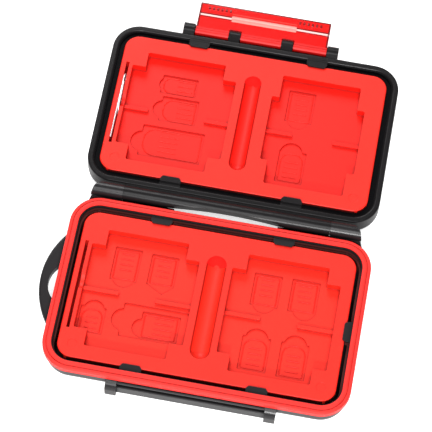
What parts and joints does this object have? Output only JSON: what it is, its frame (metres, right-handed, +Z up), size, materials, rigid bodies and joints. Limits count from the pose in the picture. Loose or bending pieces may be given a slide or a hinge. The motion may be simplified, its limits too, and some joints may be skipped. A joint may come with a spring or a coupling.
{
  "type": "memory card case",
  "caption": "Open hard case with red card trays in a black base and lid, a sealed rim, a full-width hinge, a clear red snap latch, a lanyard loop and a steel eject pin.",
  "frame": {"origin": "centre of the flat underside of the base, on the floor", "axes": "+X along the hinge to the right, +Y from the latch side of the base towards the open lid, +Z up out of the trays"},
  "size_m": [0.1291, 0.179, 0.0152],
  "materials": {
    "black_shell": "moulded satin, lightly glossy on edges",
    "red_tray": "moulded matte",
    "red_seal": "soft matte",
    "clear_red": "polished, see-through",
    "steel_pin": "drawn",
    "steel_wire": "bright drawn wire"
  },
  "bodies": {
    "base": {"base_shell": "black_shell", "base_seal": "red_seal", "base_tray": "red_tray", "hinge_pin_left": "steel_pin", "hinge_pin_right": "steel_pin"},
    "lid": {"lid_shell": "black_shell", "lid_tray": "red_tray", "latch_pin": "steel_pin"},
    "latch": {"latch_flap": "clear_red"},
    "eject_pin": {"eject_pin": "steel_wire"}
  },
  "joints": [
    {"name": "lid_hinge", "type": "hinge", "parent": "base", "child": "lid", "pos_m": [0, 0.0418, 0.0122], "axis": [1, 0, 0], "range_deg": [0, 180]},
    {"name": "latch_hinge", "type": "hinge", "parent": "lid", "child": "latch", "pos_m": [0, 0.12385, 0.0087], "axis": [1, 0, 0], "range_deg": [0, 90]},
    {"name": "eject_pin_lift", "type": "slide", "parent": "lid", "child": "eject_pin", "axis": [0, 0, 1], "range_m": [0, 0.0075]}
  ]
}
